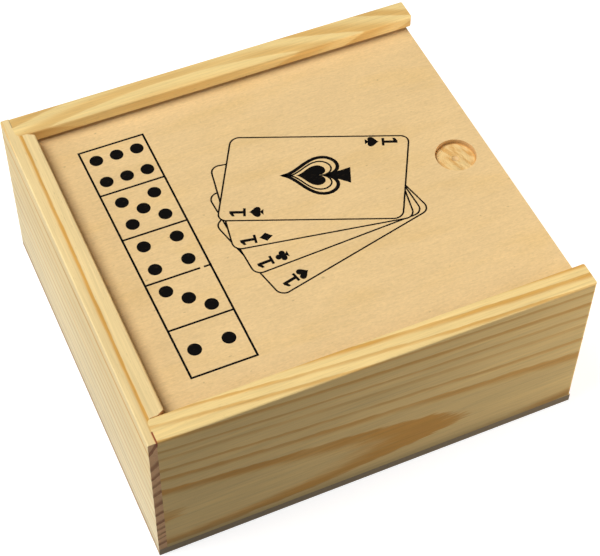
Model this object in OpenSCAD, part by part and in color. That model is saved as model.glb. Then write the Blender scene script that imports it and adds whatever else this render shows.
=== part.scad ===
// Games compendium box: a pine box with a plywood lid that slides out of grooves,
// and inside it two bays of cards and dice beside a bay of dominoes.
// Origin at the middle of the underside. X runs the way the lid slides out, Z is up.

/* [Box] */
// Height of the room inside, from the bottom panel to the lid's grooves
room_h = 56.1; // [50:0.1:90]
// Thickness of the four pine walls
wall_t = 9.5; // [8:0.5:11.5]
// Thickness of the plywood bottom panel
bottom_t = 4; // [3:0.5:6]
// Radius of the sanded long edges
edge_r = 0.6; // [0.2:0.1:1.5]
// Radius of the sanded upright edges at the open end
end_edge_r = 1; // [0.4:0.1:2]

/* [Left corner joints] */
// Thickness of the lip that the left end wall laps over the side walls
lip_t = 3; // [2:0.5:5]
// Radius that the cutter leaves inside the rabbet, and that the side wall is rounded to
rabbet_r = 2; // [1:0.5:3]
// Length along X of the nick at the end wall's inner upright corners
nick_l = 2.7; // [0.5:0.1:4]
// Width along Y of the same nick
nick_w = 1.5; // [0.5:0.1:3]

/* [Lid] */
// Thickness of the plywood lid
lid_t = 4; // [3:0.5:5]
// How far the lid's face lies below the tops of the walls
lid_drop = 5.7; // [4:0.1:9]
// How far the lid and the low end wall stop short of the side walls' ends
open_end_inset = 1.6; // [0.5:0.1:4]
// Depth of the lid's grooves in the walls
groove_depth = 4.5; // [3:0.5:6]
// Gap between the lid's edges and the bottoms of its grooves
lid_edge_gap = 0.5; // [0.3:0.1:1.5]
// Gap under the lid in its grooves
lid_under_gap = 0.2; // [0.1:0.1:0.5]
// Free height over the lid in its grooves
lid_over_gap = 1.3; // [0.3:0.1:2]

/* [Thumb recess] */
// Diameter of the bored recess
thumb_d = 15; // [10:1:25]
// Depth of the recess
thumb_depth = 2; // [1:0.5:2.5]
// Distance from the recess's centre to the lid's open edge
thumb_from_edge = 12.7; // [9:0.1:40]
// Diameter of the mark that the bit's point leaves
thumb_point_d = 2.4; // [1:0.1:4]
// Depth of that mark below the recess's floor
thumb_point_depth = 0.5; // [0.2:0.1:0.5]

/* [Dividers] */
// Thickness of the plywood dividers
divider_t = 4; // [3:0.5:5]
// Height of the dividers over the bottom panel
divider_h = 48; // [30:1:50]
// Depth of the housings that hold the dividers' ends
housing_depth = 2; // [1:0.5:3]
// Depth of the housing in the long divider for the short one
divider_housing_depth = 1.3; // [0.5:0.1:1.4]
// Free width of a housing round its divider
housing_gap = 0.2; // [0.1:0.1:0.5]

/* [Bays] */
// Room in the domino bay beyond the length of a domino
domino_bay_room = 4; // [2:0.5:20]
// Room in the card bay beyond the length of a card case
card_bay_end_room = 2; // [1:0.5:20]
// Room in the card bay beyond the width of a card case, for the fingers
card_bay_side_room = 7.2; // [2:0.1:40]
// Room in the dice bay beyond two dice side by side
dice_bay_room = 10.4; // [3:0.1:60]

/* [Brads] */
// Diameter of a brad's shank
brad_d = 1.2; // [0.8:0.1:1.6]
// Diameter of a brad's head
brad_head_d = 2.4; // [1.8:0.1:3]
// Thickness of a brad's head
brad_head_t = 0.6; // [0.3:0.1:1]
// Length of a brad
brad_l = 15; // [12:1:25]
// Brads along each side wall
side_brads = 4; // [2:1:6]
// Brads along each end wall
end_brads = 2; // [1:1:4]
// Distance from the box's ends to the first brad of a side wall
brad_margin = 20; // [16:1:40]

/* [Dominoes] */
// Length of a domino
domino_l = 50; // [30:1:70]
// Width of a domino
domino_w = 25; // [20:0.5:26]
// Thickness of a domino
domino_t = 8; // [6:0.5:9]
// Radius of a domino's corners
domino_r = 2.5; // [1:0.5:5]
// Bevel along a domino's edges
domino_bevel = 0.7; // [0.3:0.1:1.5]
// Width of the line across a domino's middle
domino_line_w = 1; // [0.5:0.1:2]
// Depth of that line
domino_line_depth = 0.6; // [0.3:0.1:1]
// Diameter of a pip's dimple
domino_pip_d = 4; // [2:0.1:5]
// Depth of the dimple
domino_pip_depth = 0.6; // [0.2:0.1:1]
// Distance between two rows of pips
domino_pip_pitch = 6.5; // [5:0.1:7.5]
// Space between two stacks of dominoes
domino_gap = 0.5; // [0.3:0.1:0.8]

/* [Cards] */
// Length of a playing card
card_l = 88; // [78:1:120]
// Width of a playing card
card_w = 63; // [40:1:80]
// Thickness of a deck of cards
deck_t = 15.4; // [10:0.1:17]
// Radius of a card's corners
card_r = 3.5; // [2:0.5:6]
// Thickness of a card case's board
case_board_t = 0.5; // [0.3:0.1:1]
// Room round the deck in its case
case_room = 0.4; // [0.2:0.1:0.8]
// Length of the flap that is tucked into the case
tuck_l = 20; // [12:1:30]
// Diameter of the case's thumb notch
case_notch_d = 20; // [12:1:26]

/* [Dice] */
// Edge of a die
die_size = 16; // [12:0.5:19]
// Radius of the ball that rounds a die's corners, as a share of its edge
die_round = 0.72; // [0.65:0.01:0.8]
// Diameter of a pip's dimple
die_pip_d = 3; // [2:0.1:3.5]
// Depth of the dimple
die_pip_depth = 0.6; // [0.2:0.1:1]
// Distance between two rows of pips
die_pip_pitch = 4; // [3.6:0.1:4.4]
// Space between two dice
die_gap = 1.2; // [0.8:0.1:1.4]
// Most that a die lies turned, in degrees
die_turn = 3; // [0:0.5:3]

/* [Hidden] */
$fn = 48;
// Overshoot of a cut past the face that it opens
over = 1;
highest_pip = 6;
domino_count = (highest_pip + 1) * (highest_pip + 2) / 2;
// Upper faces of the dice, one die each
die_tops = [6, 5, 4, 3, 2];
dice_count = len(die_tops);
dice_columns = 2;
// Turns that bring each face of a die up, from one to six, and those that lead out to its faces
face_up = [[0, 0, 0], [0, -90, 0], [90, 0, 0], [-90, 0, 0], [0, 90, 0], [180, 0, 0]];
face_out = [[0, 0, 0], [0, 90, 0], [-90, 0, 0], [90, 0, 0], [0, -90, 0], [180, 0, 0]];
// Turn from one die to the next in the wave that gives each its own small angle
die_turn_step = 100;

pine = [0.90, 0.76, 0.50];
plywood = [0.88, 0.72, 0.50];
beech = [0.86, 0.70, 0.52];
steel = [0.62, 0.63, 0.65];
red_card = [0.62, 0.12, 0.12];
blue_card = [0.13, 0.20, 0.45];
paper = [0.95, 0.94, 0.90];
ivory = [0.94, 0.92, 0.85];

// Sizes of a card case, and of the bays that the games need
case_l = card_l + 2 * (case_room + case_board_t);
case_w = card_w + 2 * (case_room + case_board_t);
case_t = deck_t + 3 * case_board_t + case_room;
card_bay_l = case_l + card_bay_end_room;
card_bay_w = case_w + card_bay_side_room;
dice_bay_l = dice_columns * die_size + (dice_columns - 1) * die_gap + dice_bay_room;
domino_bay_w = domino_l + domino_bay_room;

// The box is built round its bays: length along the slide, width across it, height
box_l = 2 * wall_t + card_bay_l + divider_t + dice_bay_l + open_end_inset;
box_w = 2 * wall_t + card_bay_w + divider_t + domino_bay_w;
box_h = bottom_t + room_h + lid_under_gap + lid_t + lid_drop;

// The walls stand on the bottom panel
wall_h = box_h - bottom_t;
left_x = -box_l / 2;
right_x = box_l / 2;
front_y = -box_w / 2;
side_l = box_l - lip_t;

// The lid in its grooves
lid_top_z = box_h - lid_drop;
lid_low_z = lid_top_z - lid_t;
groove_low_z = lid_low_z - lid_under_gap;
groove_h = lid_t + lid_under_gap + lid_over_gap;
lid_left_x = left_x + wall_t - groove_depth + lid_edge_gap;
lid_right_x = right_x - open_end_inset;
lid_l = lid_right_x - lid_left_x;
lid_w = box_w - 2 * (wall_t - groove_depth + lid_edge_gap);

// The room inside the walls
room_x0 = left_x + wall_t;
room_x1 = lid_right_x - wall_t;
room_y0 = front_y + wall_t;
room_y1 = -room_y0;

// The dividers: the long one fences off the domino bay along the back wall
long_divider_y = room_y1 - domino_bay_w - divider_t;
short_divider_x = room_x0 + card_bay_l;
dice_bay_x0 = short_divider_x + divider_t;

// As many stacks of dominoes as the bay is long enough for
domino_stacks = floor((room_x1 - room_x0 - domino_gap) / (domino_w + domino_gap));

side_brad_x = [for (i = [0:side_brads - 1])
    left_x + brad_margin + i * (box_l - 2 * brad_margin) / (side_brads - 1)];
end_brad_y = [for (i = [0:end_brads - 1]) front_y + (i + 1) * box_w / (end_brads + 1)];
brad_spots = concat(
    [for (x = side_brad_x) [x, front_y + wall_t / 2]],
    [for (x = side_brad_x) [x, -front_y - wall_t / 2]],
    [for (y = end_brad_y) [left_x + wall_t / 2, y]],
    [for (y = end_brad_y) [lid_right_x - wall_t / 2, y]]
);

// Every pair of pip counts once: [0, 0], [1, 0], [1, 1], [2, 0] and so on
domino_pips = [for (high = [0:highest_pip]) for (low = [0:high]) [high, low]];
function domino_name(i) = str("domino_", domino_pips[i][0], "_", domino_pips[i][1]);
function die_name(i) = str("die_", i + 1);

// What a quarter circle leaves of its square, to round a corner at the origin
module corner_waste(r) {
    difference() {
        translate([-over, -over]) square(r + over);
        translate([r, r]) circle(r);
    }
}

// A side wall in plan: outer face on the X axis, left end at the origin
module side_plan() {
    difference() {
        square([side_l, wall_t]);
        translate([0, wall_t]) mirror([0, 1]) corner_waste(rabbet_r);
        translate([side_l, 0]) mirror([1, 0]) corner_waste(end_edge_r);
        translate([side_l, wall_t]) rotate(180) corner_waste(end_edge_r);
    }
}

// A grooved wall in section: outer face on the Y axis, foot at the origin
module grooved_section() {
    difference() {
        square([wall_t, wall_h]);
        translate([0, wall_h]) mirror([0, 1]) corner_waste(edge_r);
        translate([wall_t, wall_h]) rotate(180) corner_waste(edge_r);
        translate([wall_t - groove_depth, groove_low_z - bottom_t]) square([groove_depth + over, groove_h]);
    }
}

// The housing for a divider's end, from the foot of the wall to the lid's groove
module divider_housing(depth) {
    translate([-depth, -housing_gap / 2, bottom_t - over])
        cube([depth + over, divider_t + housing_gap, groove_low_z - bottom_t + over + lid_under_gap]);
}

// Holes that the brads fill, through the panel and into the walls
module brad_shapes() {
    for (spot = brad_spots) translate([spot[0], spot[1], 0]) {
        cylinder(d = brad_head_d, h = brad_head_t);
        cylinder(d = brad_d, h = brad_l);
    }
}

module placed_side_plan() {
    translate([left_x + lip_t, front_y, 0]) linear_extrude(box_h) side_plan();
}

module side_wall() {
    translate([left_x + lip_t, front_y, bottom_t]) intersection() {
        linear_extrude(wall_h) side_plan();
        rotate([90, 0, 90]) linear_extrude(side_l) grooved_section();
    }
}

module front_wall() color(pine) difference() {
    side_wall();
    brad_shapes();
    translate([short_divider_x + divider_t, room_y0, 0]) rotate(90) divider_housing(housing_depth);
}

module back_wall() color(pine) difference() {
    mirror([0, 1, 0]) side_wall();
    brad_shapes();
}

// The nick is a corner cut off in plan, from the inner face to the side wall
module corner_nick() {
    linear_extrude(box_h + over) polygon([
        [room_x0 + over, room_y0 - over],
        [room_x0 + over, room_y0 + nick_w + over * nick_w / nick_l],
        [room_x0 - nick_l, room_y0],
        [room_x0 - nick_l, room_y0 - over]
    ]);
}

module left_end_wall() color(pine) difference() {
    translate([left_x, -front_y, bottom_t]) rotate([90, 0, 0]) linear_extrude(box_w) grooved_section();
    for (side = [0, 1]) mirror([0, side, 0]) {
        placed_side_plan();
        corner_nick();
    }
    brad_shapes();
    translate([room_x0, long_divider_y, 0]) divider_housing(housing_depth);
}

// The low end wall is glued between the side walls, and the lid slides over it
module right_end_wall() color(pine) difference() {
    translate([room_x1, room_y1, bottom_t]) rotate([90, 0, 0]) linear_extrude(room_y1 - room_y0)
        difference() {
            square([wall_t, groove_low_z - bottom_t]);
            translate([wall_t, groove_low_z - bottom_t]) rotate(180) corner_waste(edge_r);
        }
    brad_shapes();
    translate([room_x1, long_divider_y + divider_t, 0]) rotate(180) divider_housing(housing_depth);
}

module bottom_panel() color(plywood) difference() {
    intersection() {
        translate([left_x, -front_y, 0]) rotate([90, 0, 0]) linear_extrude(box_w) panel_section(box_l);
        translate([left_x, front_y, 0]) rotate([90, 0, 90]) linear_extrude(box_l) panel_section(box_w);
    }
    brad_shapes();
}

module panel_section(length) {
    difference() {
        square([length, bottom_t]);
        corner_waste(edge_r);
        translate([length, 0]) mirror([1, 0]) corner_waste(edge_r);
    }
}

module bottom_brads() color(steel) brad_shapes();

module lid() color(plywood) difference() {
    translate([lid_left_x, -lid_w / 2, lid_low_z]) cube([lid_l, lid_w, lid_t]);
    translate([lid_right_x - thumb_from_edge, 0, lid_top_z - thumb_depth]) {
        cylinder(d = thumb_d, h = thumb_depth + over, $fn = 96);
        translate([0, 0, -thumb_point_depth]) cylinder(d1 = 0, d2 = thumb_point_d, h = thumb_point_depth);
    }
}

module long_divider() color(plywood) difference() {
    translate([room_x0 - housing_depth, long_divider_y, bottom_t])
        cube([room_x1 - room_x0 + 2 * housing_depth, divider_t, divider_h]);
    translate([short_divider_x, long_divider_y, 0]) rotate(-90) divider_housing(divider_housing_depth);
}

module short_divider() color(plywood)
    translate([short_divider_x, room_y0 - housing_depth, bottom_t])
        cube([divider_t, long_divider_y - room_y0 + housing_depth + divider_housing_depth, divider_h]);

module rounded_plan(l, w, r) {
    difference() {
        translate([-l / 2, -w / 2]) square([l, w]);
        for (mx = [0, 1]) for (my = [0, 1])
            mirror([mx, 0]) mirror([0, my]) translate([-l / 2, -w / 2]) corner_waste(r);
    }
}

// The case lies flat, flap towards +X, with the flap tucked under its top board
module card_case(low_z) {
    middle_x = room_x0 + card_bay_end_room / 2 + case_l / 2;
    middle_y = (room_y0 + long_divider_y) / 2;
    translate([middle_x, middle_y, low_z]) difference() {
        translate([-case_l / 2, -case_w / 2, 0]) cube([case_l, case_w, case_t]);
        difference() {
            translate([case_board_t - case_l / 2, case_board_t - case_w / 2, case_board_t])
                cube([case_l - 2 * case_board_t, case_w - 2 * case_board_t, case_t - 2 * case_board_t]);
            translate([case_l / 2 - case_board_t - tuck_l, -case_w / 2, case_t - 2 * case_board_t])
                cube([tuck_l, case_w, case_board_t]);
        }
        translate([case_l / 2, 0, case_t - case_board_t]) cylinder(d = case_notch_d, h = case_board_t + over);
    }
}

module card_deck(low_z) {
    middle_x = room_x0 + card_bay_end_room / 2 + case_l / 2;
    middle_y = (room_y0 + long_divider_y) / 2;
    translate([middle_x, middle_y, low_z + case_board_t])
        linear_extrude(deck_t) rounded_plan(card_l, card_w, card_r);
}

module lower_card_case() color(blue_card) card_case(bottom_t);
module lower_card_deck() color(paper) card_deck(bottom_t);
module upper_card_case() color(red_card) card_case(bottom_t + case_t);
module upper_card_deck() color(paper) card_deck(bottom_t + case_t);

// Places of a face's pips on a grid of three by three
function pip_spots(count) = concat(
    count % 2 == 1 ? [[0, 0]] : [],
    count >= 2 ? [[-1, -1], [1, 1]] : [],
    count >= 4 ? [[-1, 1], [1, -1]] : [],
    count == 6 ? [[-1, 0], [1, 0]] : []
);

// The balls that sink a face's dimples into the plane of the origin
module pips(count, pitch, d, depth) {
    ball_r = (d * d / 4 + depth * depth) / (2 * depth);
    for (spot = pip_spots(count))
        translate([spot[0] * pitch, spot[1] * pitch, ball_r - depth]) sphere(ball_r);
}

// A rectangle with its corners cut off at 45 degrees
module bevelled_plan(l, w, bevel) {
    polygon([
        [-l / 2 + bevel, -w / 2], [l / 2 - bevel, -w / 2], [l / 2, -w / 2 + bevel], [l / 2, w / 2 - bevel],
        [l / 2 - bevel, w / 2], [-l / 2 + bevel, w / 2], [-l / 2, w / 2 - bevel], [-l / 2, -w / 2 + bevel]
    ]);
}

// A domino lying face up, with its pair of pip counts
module domino_tile(counts) {
    difference() {
        intersection() {
            linear_extrude(domino_t) rounded_plan(domino_w, domino_l, domino_r);
            translate([0, domino_l / 2, domino_t / 2]) rotate([90, 0, 0])
                linear_extrude(domino_l) bevelled_plan(domino_w, domino_t, domino_bevel);
            translate([-domino_w / 2, 0, domino_t / 2]) rotate([90, 0, 90])
                linear_extrude(domino_w) bevelled_plan(domino_l, domino_t, domino_bevel);
        }
        translate([-domino_w / 2 - over, -domino_line_w / 2, domino_t - domino_line_depth])
            cube([domino_w + 2 * over, domino_line_w, domino_line_depth + over]);
        for (half = [0, 1]) translate([0, (half - 0.5) * domino_l / 2, domino_t])
            pips(counts[half], domino_pip_pitch, domino_pip_d, domino_pip_depth);
    }
}

// The dominoes lie face up in stacks side by side along the back wall
module domino(i) {
    stack = i % domino_stacks;
    level = floor(i / domino_stacks);
    color(beech) translate([
        room_x0 + domino_gap + domino_w / 2 + stack * (domino_w + domino_gap),
        room_y1 - domino_bay_w / 2,
        bottom_t + level * domino_t
    ]) domino_tile(domino_pips[i]);
}

// A die round the origin, its opposite faces adding up to seven
module pipped_die() {
    difference() {
        intersection() {
            cube(die_size, center = true);
            sphere(die_size * die_round, $fn = 64);
        }
        for (face = [1:6]) rotate(face_out[face - 1]) translate([0, 0, die_size / 2])
            pips(face, die_pip_pitch, die_pip_d, die_pip_depth);
    }
}

// The dice lie in two columns at the front of their bay, each turned a little
module die(i) {
    column = i % dice_columns;
    row = floor(i / dice_columns);
    pitch = die_size + die_gap;
    color(ivory) translate([
        (dice_bay_x0 + room_x1) / 2 + (column - (dice_columns - 1) / 2) * pitch,
        room_y0 + die_gap + die_size / 2 + row * pitch,
        bottom_t + die_size / 2
    ]) rotate(die_turn * sin(die_turn_step * (i + 1))) rotate(face_up[die_tops[i] - 1]) pipped_die();
}

front_wall();
back_wall();
left_end_wall();
right_end_wall();
bottom_panel();
bottom_brads();
lid();
long_divider();
short_divider();
lower_card_case();
lower_card_deck();
upper_card_case();
upper_card_deck();
for (i = [0:dice_count - 1]) die(i);
for (i = [0:domino_count - 1]) domino(i);
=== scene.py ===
# %% [markdown]
# # A games compendium box on a pale floor
#
# The object is a small pine box with a plywood lid that slides out of grooves to the right. Inside lie two
# decks of cards in their tuck cases, five dice and the twenty-eight dominoes of a double-six set.
# Its solids are ready made, in metres, with the origin at the middle of the underside, +X the way the lid
# slides out and +Z up. This lesson gives each of them a finish, prints the lid, paints the pips, and sets up
# the camera and the lamps. Lengths below are in millimetres, as a box maker thinks of them.

# %% Load the solids and the tools
import math

import bpy
import numpy as np
from mathutils import Matrix, Vector


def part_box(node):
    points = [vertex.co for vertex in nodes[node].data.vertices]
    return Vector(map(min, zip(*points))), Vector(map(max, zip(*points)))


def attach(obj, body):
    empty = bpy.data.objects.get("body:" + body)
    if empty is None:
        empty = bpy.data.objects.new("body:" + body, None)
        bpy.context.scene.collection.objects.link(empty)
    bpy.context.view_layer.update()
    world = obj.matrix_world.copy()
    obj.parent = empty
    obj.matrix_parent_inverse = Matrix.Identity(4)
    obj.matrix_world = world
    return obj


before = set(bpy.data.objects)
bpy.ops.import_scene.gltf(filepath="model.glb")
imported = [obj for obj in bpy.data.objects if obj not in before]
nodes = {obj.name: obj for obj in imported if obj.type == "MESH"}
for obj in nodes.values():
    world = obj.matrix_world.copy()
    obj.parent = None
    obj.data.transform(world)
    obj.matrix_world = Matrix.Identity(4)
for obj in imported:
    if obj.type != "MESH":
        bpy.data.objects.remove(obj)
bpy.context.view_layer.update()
scene = bpy.context.scene
MM = 0.001

# %% [markdown]
# ## Where things are
#
# Places are measured on the solids, so that little here has to be fitted by hand. `span` gives a solid's
# lowest and highest corner in millimetres.

# %% Measure the solids
def span(node):
    """Lowest and highest corner of a solid, as two arrays in millimetres."""
    low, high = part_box(node)
    return np.array(low) / MM, np.array(high) / MM


lid_high = span("lid")[1]
front_low, front_high = span("front_wall")
back_high = span("back_wall")[1]
LID_TOP = lid_high[2]
print("top of the lid at", round(LID_TOP, 2))

# %% [markdown]
# ## The camera
#
# The photograph looks down on the box from its front left corner with a long lens, so that the sides stay
# nearly parallel. The camera stands on a sphere round a point near the middle of the box: an azimuth, an
# elevation, a distance, and a small roll, because the photograph isn't quite level.

# %% Stand the camera
CAMERA_AIM = (1.31, -8.26, 35)
# Azimuth, elevation, distance and roll
CAMERA_STAND = (-24.92, 52.07, 594.29, 1.2155)
CAMERA_LENS = 99.107


def add_object(name, data):
    """A new object in the scene."""
    made = bpy.data.objects.new(name, data)
    scene.collection.objects.link(made)
    return made


def look_at(aim, thing, azimuth, elevation, distance, roll=0.0):
    """Stands a camera or a lamp on a sphere round its aim, and turns it to look there. Backward points from
    the aim to the thing. Right is level and square to it, up is square to both, and the roll turns right
    and up round backward."""
    a, e, r = (math.radians(v) for v in (azimuth, elevation, roll))
    back = Vector((math.sin(a) * math.cos(e), -math.cos(a) * math.cos(e), math.sin(e)))
    level = Vector((math.cos(a), math.sin(a), 0))
    up = back.cross(level)
    axes = Matrix((level * math.cos(r) + up * math.sin(r), up * math.cos(r) - level * math.sin(r), back))
    place = Matrix.Translation((Vector(aim) + back * distance) * MM)
    thing.matrix_world = place @ axes.transposed().to_4x4()


camera = add_object("camera", bpy.data.cameras.new("camera"))
scene.camera = camera
camera.data.lens = CAMERA_LENS
camera.data.clip_start = 0.01
look_at(CAMERA_AIM, camera, *CAMERA_STAND)
scene.view_settings.view_transform = "Standard"
print("camera at", [round(v / MM, 1) for v in camera.matrix_world.translation])

# %% [markdown]
# ## Finishes as recipes
#
# A finish is a tree of shader nodes. Written out node by node it is hard to read, so a small class turns
# each step into one line: take the place of a point in millimetres, stretch it, ask a noise, mix two colours.
# Colours are written as the eye sees them, from 0 to 255, and turned into the linear values of a shader.

# %% Recipes for finishes
def tone(red, green, blue):
    """The linear colour of a screen colour: each channel's share of 255 through the sRGB curve."""
    share = np.array([red, green, blue]) / 255
    linear = np.where(share <= 0.04045, share / 12.92, ((share + 0.055) / 1.055) ** 2.4)
    return (*linear.tolist(), 1.0)


def add_node(tree, kind, inputs, **settings):
    """A new node in a tree. An input is a number, a colour, a vector or what came out of another node."""
    made = tree.nodes.new(kind)
    for key, value in settings.items():
        setattr(made, key, value)
    for key, value in inputs.items():
        if isinstance(value, bpy.types.NodeSocket):
            tree.links.new(value, made.inputs[key])
        else:
            made.inputs[key].default_value = value
    return made


class Finish:
    """A material written as a recipe. Every method adds a node and gives back what comes out of it."""

    def __init__(self, name, roughness=0.5, specular=0.4, **others):
        self.material = bpy.data.materials.new(name)
        self.material.use_nodes = True
        self.tree = self.material.node_tree
        self.shader = self.tree.nodes["Principled BSDF"]
        sockets = {"Roughness": roughness, "Specular IOR Level": specular, **others}
        for socket, value in sockets.items():
            self.shader.inputs[socket].default_value = value
        where = self.node("ShaderNodeTexCoord", {}).outputs
        self.place = self.vector("SCALE", where["Object"], scale=1 / MM)
        self.normal = where["Normal"]

    def node(self, kind, inputs, **settings):
        """Adds a node to the recipe."""
        return add_node(self.tree, kind, inputs, **settings)

    def number(self, operation, a, b=0.0, c=0.0, clamp=False):
        """A sum on numbers, such as ADD, MULTIPLY, MINIMUM or FRACT."""
        settings = {"operation": operation, "use_clamp": clamp}
        return self.node("ShaderNodeMath", {0: a, 1: b, 2: c}, **settings).outputs[0]

    def times(self, a, b):
        """The product of two numbers, such as a mask and a share."""
        return self.number("MULTIPLY", a, b)

    def away(self, value, middle):
        """How far a number lies from a middle, either way."""
        return self.number("ABSOLUTE", self.number("SUBTRACT", value, middle))

    def vector(self, operation, a, b=(0, 0, 0), scale=1.0):
        """A sum on vectors, such as ADD, DIVIDE, SCALE or LENGTH."""
        made = self.node("ShaderNodeVectorMath", {0: a, 1: b, 3: scale}, operation=operation)
        return made.outputs["Value" if operation == "LENGTH" else "Vector"]

    def split(self, vector):
        """The three numbers of a vector."""
        return self.node("ShaderNodeSeparateXYZ", {0: vector}).outputs

    def join(self, x, y, z):
        """The vector of three numbers."""
        return self.node("ShaderNodeCombineXYZ", {0: x, 1: y, 2: z}).outputs[0]

    def noise(self, size, detail=2.0, shift=0.0, seed=0.0, place=None):
        """Noise from 0 to 1 whose features are about size millimetres long, wide and high."""
        at = self.vector("DIVIDE", self.place if place is None else place, size)
        shift += seed
        at = self.vector("ADD", at, (shift, 1.7 * shift, 2.3 * shift))
        return self.node("ShaderNodeTexNoise", {"Vector": at, "Scale": 1.0, "Detail": detail}).outputs["Fac"]

    def fade(self, value, start, end):
        """A smooth step: 0 where the value is before start, 1 where it is past end."""
        inputs = {"Value": value, "From Min": start, "From Max": end}
        return self.node("ShaderNodeMapRange", inputs, interpolation_type="SMOOTHSTEP").outputs[0]

    def facing(self, axis, start, end):
        """A smooth step on how squarely the surface looks along an axis, either way: 1 is straight along."""
        return self.fade(self.number("ABSOLUTE", self.split(self.normal)[axis]), start, end)

    def mix(self, share, a, b):
        """Colour a, with its share of colour b laid over it."""
        return self.node("ShaderNodeMix", {0: share, 6: a, 7: b}, data_type="RGBA").outputs[2]

    def ramp(self, value, stops):
        """Colours along a value from 0 to 1. A stop is a place and a colour."""
        made = self.node("ShaderNodeValToRGB", {"Fac": value})
        band = made.color_ramp.elements
        for place, _ in stops[2:]:
            band.new(place)
        for element, (place, colour) in zip(band, stops):
            element.position = place
            element.color = colour
        return made.outputs["Color"]

    def grained(self, place, seed, swings, specks):
        """A brightness near 1 that swings by half an amount to either side with each of some noises, and
        drops by an amount where others are high. The first noise comes back with it, for the bump."""
        light, noises = 1.0, []
        for *noise, amount in swings:
            noises.append(self.noise(*noise, seed, place))
            light = self.times(light, self.number("MULTIPLY_ADD", noises[-1], amount, 1 - amount / 2))
        for *noise, amount, start, end in specks:
            mask = self.fade(self.noise(*noise, seed, place), start, end)
            light = self.times(light, self.number("MULTIPLY_ADD", mask, -amount, 1.0))
        return light, noises[0]

    def shade(self, colour, amount, tint=(1, 1, 1)):
        """The colour with its brightness multiplied by a number, and with each channel's share of a tint."""
        parts = [amount if share == 1 else self.times(amount, share) for share in tint]
        colour = colour[:3] if isinstance(colour, tuple) else colour
        return self.vector("MULTIPLY", colour, self.join(*parts))

    def finish(self, colour, bump=None, bump_height=0.05):
        """Ends the recipe: paints the shader, raises it by the bump in millimetres, gives the material."""
        self.tree.links.new(colour, self.shader.inputs["Base Color"])
        if bump is not None:
            relief = self.node("ShaderNodeBump", {"Height": bump, "Distance": bump_height * MM})
            self.tree.links.new(relief.outputs[0], self.shader.inputs["Normal"])
        return self.material


def speckled(name, size, first, second, bump_height=0.0, detail=3, **sockets):
    """A finish that goes from one colour to another with a noise, which may raise it as well."""
    recipe = Finish(name, **sockets)
    noise = recipe.noise(size, detail)
    return recipe.finish(recipe.mix(noise, first, second), noise if bump_height else None, bump_height)


def dress(names, material):
    """Gives a material to solids or pieces by name."""
    for name in names:
        target = bpy.data.objects[name].data.materials
        target.clear()
        target.append(material)


# %% [markdown]
# ## Pine
#
# The walls are pine boards, and each face shows another cut through the same growth rings: straight lines
# on the top, flames on the front, and short dark strokes on the end grain. Painting each face apart would
# never meet at the edges. So the rings are solid: a board is cut out of a trunk, and every point asks how
# far it lies from the trunk's pith. Each ring goes from pale spring wood to a dark line of summer wood, which
# ends sharply on the side of the bark. A colour ramp along the radius counts the rings, because no two are
# the same width: its red channel is the count, its green the strength of the ring's line, its blue the
# share of the ring that is summer wood.

# %% Growth rings
# A colour ramp holds 32 stops at most
RING_COUNT_TOP = 32
SPARE_STOPS = 3
RADIUS_TOP = 130.0
OTHER_RINGS = (0.6, 0.35)
# Places within a ring, from 0 at its start to 1 at its end
LINE_END = (1.0, 0.92)
GLOW_END = (1.0, 0.8)
RISE_SHARE = 0.6
GLOW_SHARE = 0.20
SPRING_WOOD = tone(243, 213, 145)
SUMMER_WOOD = tone(213, 159, 74)
LEFT_SPRING_WOOD = tone(235, 208, 150)
# Painted light: the paler colour the left end wall takes towards its foot, as the floor's bounce would light
# it
LEFT_PAINTED_BOUNCE = tone(244, 225, 179)
END_SPRING = tone(238, 192, 142)
END_SUMMER = tone(158, 106, 68)


def ring_stops(rings):
    """Stops of the ramp that counts the rings. Each ring has a radius in millimetres, a strength and the
    share that is summer wood. Inside the first and outside the last, rings follow at their mean width."""
    radii = [ring[0] for ring in rings]
    width = (radii[-1] - radii[0]) / (len(radii) - 1)
    room = RING_COUNT_TOP - SPARE_STOPS - len(rings)
    inner = min(int(radii[0] / width), room // 2)
    outer = min(int((RADIUS_TOP - radii[-1]) / width), room - inner)
    before = [(radii[0] - k * width, *OTHER_RINGS) for k in range(inner, 0, -1)]
    after = [(radii[-1] + k * width, *OTHER_RINGS) for k in range(1, outer + 1)]
    whole = enumerate(before + list(rings) + after)
    return [(r / RADIUS_TOP, (k / RING_COUNT_TOP, strength, share, 1)) for k, (r, strength, share) in whole]


def ring_lines(wood, radius, rings):
    """The summer wood at a radius, from 0 to 1, and its ring's strength. A line rises over the first six
    tenths of its share of the ring, and ends sharply at the ring's edge. The spring wood darkens a little
    towards it, by the square of how far the ring has grown."""
    counted = wood.split(wood.ramp(wood.number("DIVIDE", radius, RADIUS_TOP), ring_stops(rings)))
    grown = wood.number("FRACT", wood.times(counted[0], RING_COUNT_TOP))
    start = wood.number("SUBTRACT", 1.0, counted[2])
    risen = wood.number("MULTIPLY_ADD", counted[2], RISE_SHARE - 1, 1.0)
    line = wood.times(wood.fade(grown, start, risen), wood.fade(grown, *LINE_END))
    glow = wood.times(wood.times(grown, grown), wood.fade(grown, *GLOW_END))
    return wood.number("MULTIPLY_ADD", glow, GLOW_SHARE, line), counted[1]


# %% Seams of the left end wall
GLUE = tone(146, 66, 36)
DRY_SEAM = tone(120, 104, 82)
DRY_SEAM_SHARE = 0.6
# Distances at which a mark starts and is whole
GLUE_FROM_JOINT, GLUE_FROM_FRONT, GLUE_FROM_TOP = np.array([(0.36, 0.16), (4.7, 4.3), (3.5, 1.0)])
DRY_FROM_JOINT, DRY_FROM_BACK = np.array([(0.2, 0.08), (4.7, 4.5)])


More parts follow.
